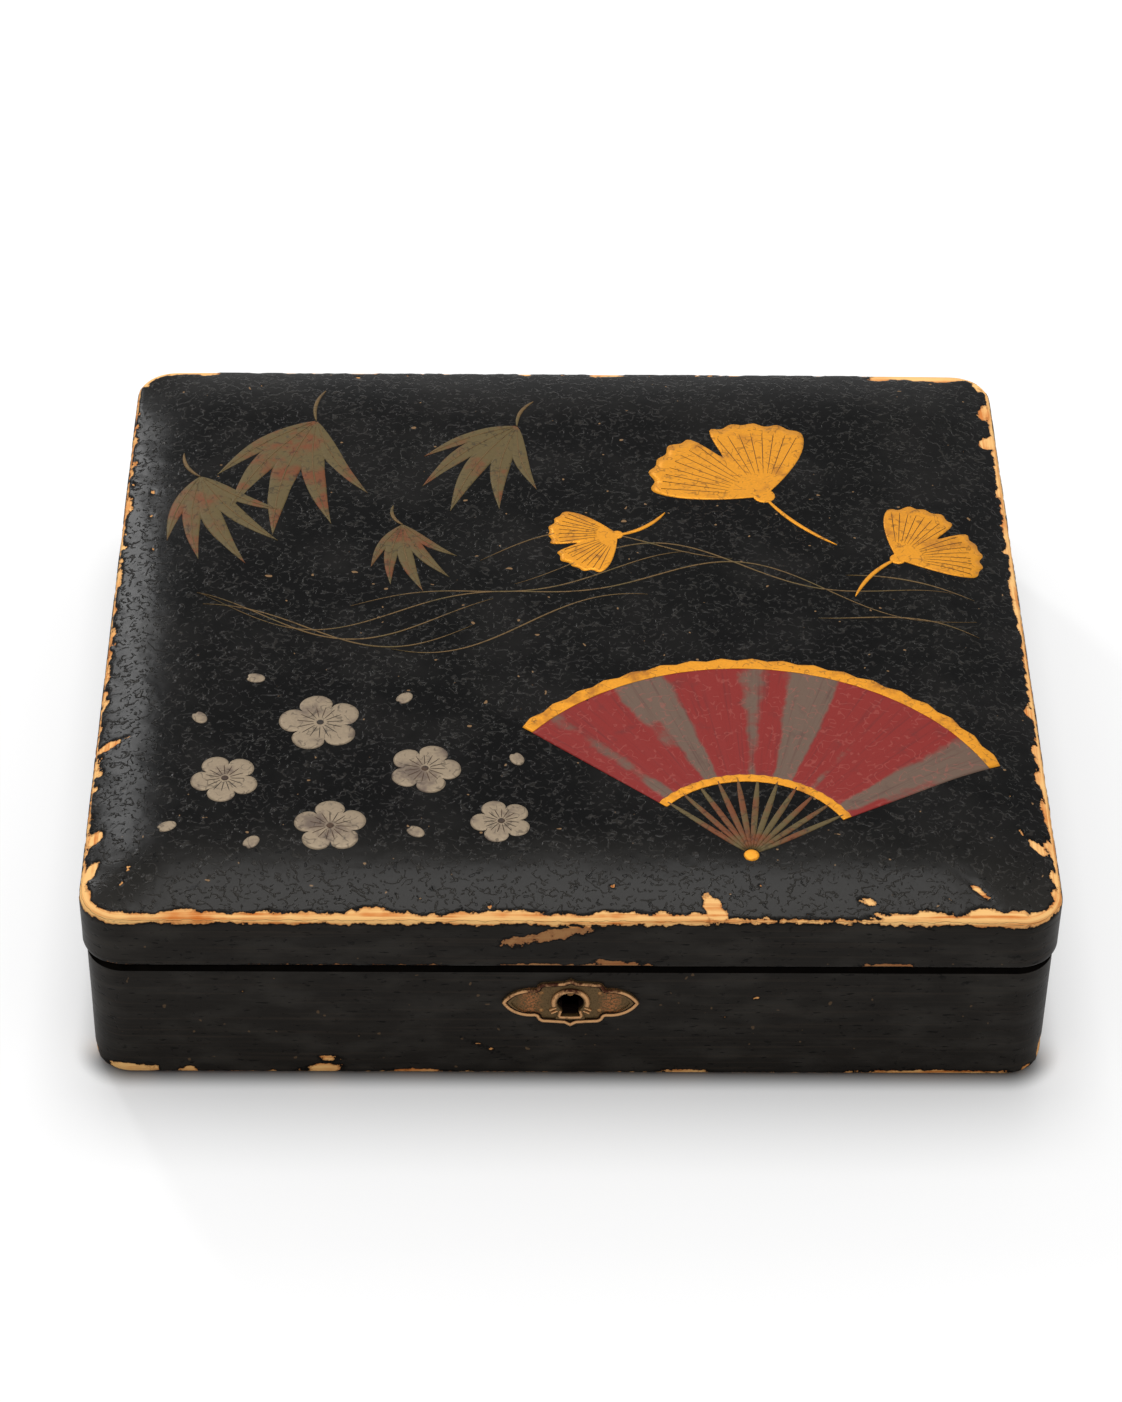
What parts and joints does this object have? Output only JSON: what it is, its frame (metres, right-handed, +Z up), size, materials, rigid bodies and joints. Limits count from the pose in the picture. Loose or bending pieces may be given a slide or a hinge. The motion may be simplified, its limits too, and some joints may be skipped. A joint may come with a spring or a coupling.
{
  "type": "ink box",
  "caption": "Low square lacquered writing box: domed hinged lid, link lock with a keyhole plate, and inside an inkstone on its board, water dropper, trays, brushes and ink stick.",
  "frame": {"origin": "middle of the box's footprint, on the surface it stands on", "axes": "+X to the right seen from the front, +Y to the back where the hinges are, +Z up; the front with the keyhole faces -Y"},
  "size_m": [0.25, 0.232, 0.0613],
  "materials": {
    "black_lacquer": "worn black lacquer over wood",
    "brass": "aged brass, satin",
    "spring_brass": "hard rolled brass strip",
    "bronze": "dark patinated bronze",
    "slate": "honed dark slate",
    "ink_cake": "smooth pressed soot and glue",
    "bamboo": "polished bamboo",
    "hair": "dry animal hair"
  },
  "bodies": {
    "base": {"base_front_wall": "black_lacquer", "base_back_wall": "black_lacquer", "base_left_wall": "black_lacquer", "base_right_wall": "black_lacquer", "base_floor": "black_lacquer", "hinge_left_base_leaf": "brass", "hinge_left_pin": "brass", "hinge_left_base_screws": "brass", "hinge_right_base_leaf": "brass", "hinge_right_pin": "brass", "hinge_right_base_screws": "brass", "lock_case": "brass", "lock_cap": "brass", "lock_drill_pin": "brass", "lock_screws": "brass", "escutcheon": "brass", "escutcheon_tacks": "brass"},
    "lid": {"lid_front_rail": "black_lacquer", "lid_back_rail": "black_lacquer", "lid_left_rail": "black_lacquer", "lid_right_rail": "black_lacquer", "lid_top_board": "black_lacquer", "hinge_left_lid_leaf": "brass", "hinge_left_lid_screws": "brass", "hinge_right_lid_leaf": "brass", "hinge_right_lid_screws": "brass", "link_plate": "brass", "link_plate_screws": "brass"},
    "bolt": {"lock_bolt": "brass", "lock_bolt_spring": "spring_brass"},
    "board": {"inkstone_board": "black_lacquer"},
    "stone": {"inkstone": "slate"},
    "dropper": {"water_dropper": "bronze"},
    "left_tray_body": {"left_tray": "black_lacquer"},
    "stick": {"ink_stick": "ink_cake"},
    "brush_tray_body": {"brush_tray": "black_lacquer", "brush_rest_front": "black_lacquer", "brush_rest_back": "black_lacquer"},
    "large_brush": {"brush_large_handle": "bamboo", "brush_large_tip": "hair"},
    "small_brush": {"brush_small_handle": "bamboo", "brush_small_tip": "hair"}
  },
  "joints": [
    {"name": "lid_hinge", "type": "hinge", "parent": "base", "child": "lid", "pos_m": [0, 0.1125, 0.0404], "axis": [-1, 0, 0], "range_deg": [0, 100]},
    {"name": "lock_bolt_slide", "type": "slide", "parent": "base", "child": "bolt", "axis": [1, 0, 0], "range_m": [0, 0.0035]},
    {"name": "board_lift", "type": "slide", "parent": "base", "child": "board", "axis": [0, 0, 1], "range_m": [0, 0.012]},
    {"name": "inkstone_lift", "type": "slide", "parent": "board", "child": "stone", "axis": [0, 0, 1], "range_m": [0, 0.012]},
    {"name": "dropper_lift", "type": "slide", "parent": "board", "child": "dropper", "axis": [0, 0, 1], "range_m": [0, 0.012]},
    {"name": "left_tray_lift", "type": "slide", "parent": "base", "child": "left_tray_body", "axis": [0, 0, 1], "range_m": [0, 0.012]},
    {"name": "ink_stick_lift", "type": "slide", "parent": "left_tray_body", "child": "stick", "axis": [0, 0, 1], "range_m": [0, 0.016]},
    {"name": "brush_tray_lift", "type": "slide", "parent": "base", "child": "brush_tray_body", "axis": [0, 0, 1], "range_m": [0, 0.012]},
    {"name": "large_brush_lift", "type": "slide", "parent": "brush_tray_body", "child": "large_brush", "axis": [0, 0, 1], "range_m": [0, 0.016]},
    {"name": "small_brush_lift", "type": "slide", "parent": "brush_tray_body", "child": "small_brush", "axis": [0, 0, 1], "range_m": [0, 0.016]}
  ]
}
